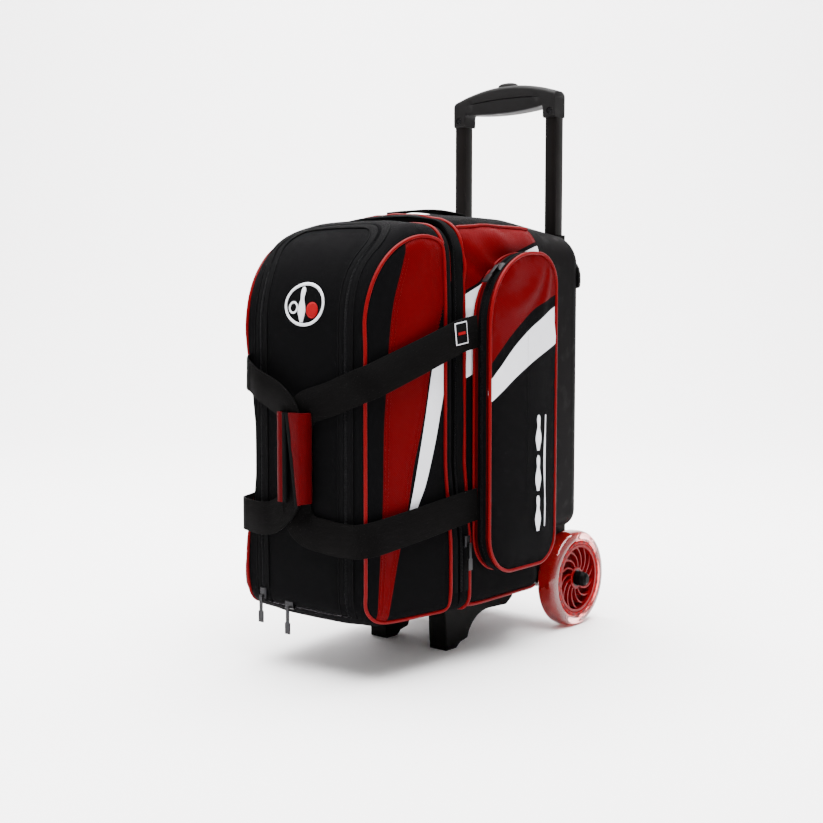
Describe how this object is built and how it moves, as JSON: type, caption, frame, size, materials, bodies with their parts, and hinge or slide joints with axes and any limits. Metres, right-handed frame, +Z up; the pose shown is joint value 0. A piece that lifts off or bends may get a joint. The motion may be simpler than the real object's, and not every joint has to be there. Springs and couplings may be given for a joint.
{
  "type": "roller bowling bag",
  "caption": "Upright two-ball roller bowling bag with front shoe compartment, side pocket, carry straps, telescopic pull handle, front feet and rear wheels",
  "frame": {"origin": "on the ground, under the middle of the bounding box", "axes": "+Z up, the shoe compartment faces -Y, the accessory pocket is on the +X side, the wheel axle runs along X at the back"},
  "size_m": [0.273, 0.4876, 0.725],
  "materials": {
    "black_polyester": "matte woven polyester over foam",
    "red_satin": "satin polyester with a small diamond weave",
    "black_webbing": "ribbed webbing",
    "red_piping": "glossy vinyl over cord",
    "zip_tape": "woven tape with a nylon coil",
    "zip_metal": "dark nickel",
    "moulded_back": "smooth matt",
    "black_plastic": "fine moulded texture",
    "stiff_board": "plain sheet",
    "cradle_foam": "lined foam",
    "anodised_tube": "black anodised",
    "steel": "zinc plated",
    "red_hub": "glossy",
    "clear_urethane": "clear, red tinted"
  },
  "bodies": {
    "bag_body": {"rear_shell": "black_polyester", "back_tray": "moulded_back", "base_board": "stiff_board", "back_board": "stiff_board", "outer_tube_left": "anodised_tube", "outer_tube_right": "anodised_tube", "tube_cup_left": "black_plastic", "tube_cup_right": "black_plastic", "mast_foot_bracket": "black_plastic", "wheel_axle": "steel", "axle_cap_left": "black_plastic", "axle_cap_right": "black_plastic", "wheel_housing": "black_plastic", "front_foot_left": "black_plastic", "front_foot_right": "black_plastic", "foot_screw_left": "steel", "foot_screw_right": "steel", "ball_cradle_lower": "cradle_foam", "ball_cradle_upper": "cradle_foam", "top_handle": "black_webbing", "rear_grab_handle": "black_webbing", "pocket_gusset": "red_satin", "rear_piping": "red_piping", "main_zip_tape": "zip_tape"},
    "lid": {"lid_shell": "black_polyester", "lid_divider": "stiff_board", "lid_piping_left": "red_piping", "lid_piping_right": "red_piping"},
    "shoe_door": {"shoe_door": "black_polyester"},
    "handle": {"grip_bottom_shell": "black_plastic", "grip_top_shell": "black_plastic", "inner_tube_left": "anodised_tube", "inner_tube_right": "anodised_tube", "grip_screw_left": "steel", "grip_screw_right": "steel"},
    "release": {"release_button": "black_plastic", "release_bar": "steel", "lock_rod_left": "steel", "lock_rod_right": "steel"},
    "wheel_left": {"wheel_tyre_left": "clear_urethane", "wheel_hub_left": "red_hub", "wheel_bearing_left": "steel"},
    "wheel_right": {"wheel_tyre_right": "clear_urethane", "wheel_hub_right": "red_hub", "wheel_bearing_right": "steel"},
    "pocket_door": {"pocket_door": "black_polyester", "pocket_piping": "red_piping"},
    "strap_left": {"carry_strap_left": "black_webbing"},
    "strap_right": {"carry_strap_right": "black_webbing", "grip_wrap": "red_satin"},
    "main_slider": {"main_zip_slider": "zip_metal"},
    "main_pull": {"main_zip_pull": "zip_metal"},
    "shoe_slider_a": {"shoe_zip_a_slider": "zip_metal"},
    "shoe_pull_a": {"shoe_zip_a_pull": "zip_metal"},
    "shoe_slider_b": {"shoe_zip_b_slider": "zip_metal"},
    "shoe_pull_b": {"shoe_zip_b_pull": "zip_metal"},
    "pocket_slider": {"pocket_zip_slider": "zip_metal"},
    "pocket_pull": {"pocket_zip_pull": "zip_metal"}
  },
  "joints": [
    {"name": "lid_hinge", "type": "hinge", "parent": "bag_body", "child": "lid", "pos_m": [-0.0055, -0.08425, 0.0664], "axis": [1, 0, 0], "range_deg": [0, 95]},
    {"name": "shoe_door_hinge", "type": "hinge", "parent": "lid", "child": "shoe_door", "pos_m": [-0.0055, -0.22025, 0.078], "axis": [1, 0, 0], "range_deg": [0, 60], "deforming": ["carry_strap_left", "carry_strap_right", "grip_wrap"]},
    {"name": "pocket_door_hinge", "type": "hinge", "parent": "bag_body", "child": "pocket_door", "pos_m": [0.1365, 0.08825, 0.298], "axis": [0, 0, 1], "range_deg": [0, 110]},
    {"name": "strap_right_swing", "type": "hinge", "parent": "bag_body", "child": "strap_right", "pos_m": [0.117, -0.05755, 0.293], "axis": [0, 0, 1], "range_deg": [0, 76]},
    {"name": "strap_left_swing", "type": "hinge", "parent": "bag_body", "child": "strap_left", "pos_m": [-0.128, -0.05755, 0.293], "axis": [0, 0, -1], "range_deg": [0, 76]},
    {"name": "handle_slide", "type": "slide", "parent": "bag_body", "child": "handle", "axis": [0, 0, 1], "range_m": [-0.15, 0.225]},
    {"name": "release_press", "type": "slide", "parent": "handle", "child": "release", "axis": [0, 0, -1], "range_m": [0, 0.003], "stiffness_N_per_m": 2500, "springref_m": -0.003},
    {"name": "wheel_left_spin", "type": "hinge", "parent": "bag_body", "child": "wheel_left", "pos_m": [-0.1105, 0.18025, 0.0635], "axis": [1, 0, 0], "continuous": true},
    {"name": "wheel_right_spin", "type": "hinge", "parent": "bag_body", "child": "wheel_right", "pos_m": [0.0995, 0.18025, 0.0635], "axis": [1, 0, 0], "continuous": true},
    {"name": "main_zip_slide", "type": "slide", "parent": "bag_body", "child": "main_slider", "axis": [0, 0, 1], "range_m": [0, 0.28]},
    {"name": "main_zip_pull_swing", "type": "hinge", "parent": "main_slider", "child": "main_pull", "pos_m": [0.1199, -0.07375, 0.148], "axis": [0, -1, 0], "range_deg": [0, 150]},
    {"name": "shoe_zip_a_slide", "type": "slide", "parent": "shoe_door", "child": "shoe_slider_a", "axis": [0, 0, 1], "range_m": [0, 0.26]},
    {"name": "shoe_zip_a_pull_swing", "type": "hinge", "parent": "shoe_slider_a", "child": "shoe_pull_a", "pos_m": [-0.0715, -0.22595, 0.0855], "axis": [-1, 0, 0], "range_deg": [0, 150]},
    {"name": "shoe_zip_b_slide", "type": "slide", "parent": "shoe_door", "child": "shoe_slider_b", "axis": [1, 0, 0], "range_m": [0, 0.079]},
    {"name": "shoe_zip_b_pull_swing", "type": "hinge", "parent": "shoe_slider_b", "child": "shoe_pull_b", "pos_m": [-0.0295, -0.22415, 0.0775], "axis": [-1, 0, 0], "range_deg": [0, 150]},
    {"name": "pocket_zip_slide", "type": "hinge", "parent": "bag_body", "child": "pocket_slider", "pos_m": [0.124, 0.03225, 0.4], "axis": [1, 0, 0], "range_deg": [-30, 50]},
    {"name": "pocket_zip_pull_swing", "type": "hinge", "parent": "pocket_slider", "child": "pocket_pull", "pos_m": [0.124, -0.02634, 0.47174], "axis": [-1, 0, 0], "range_deg": [0, 120]}
  ],
  "couplings": [
    {"joint": "strap_right_swing", "follows": "lid_hinge", "ratio": 0.8},
    {"joint": "strap_left_swing", "follows": "lid_hinge", "ratio": 0.8}
  ]
}
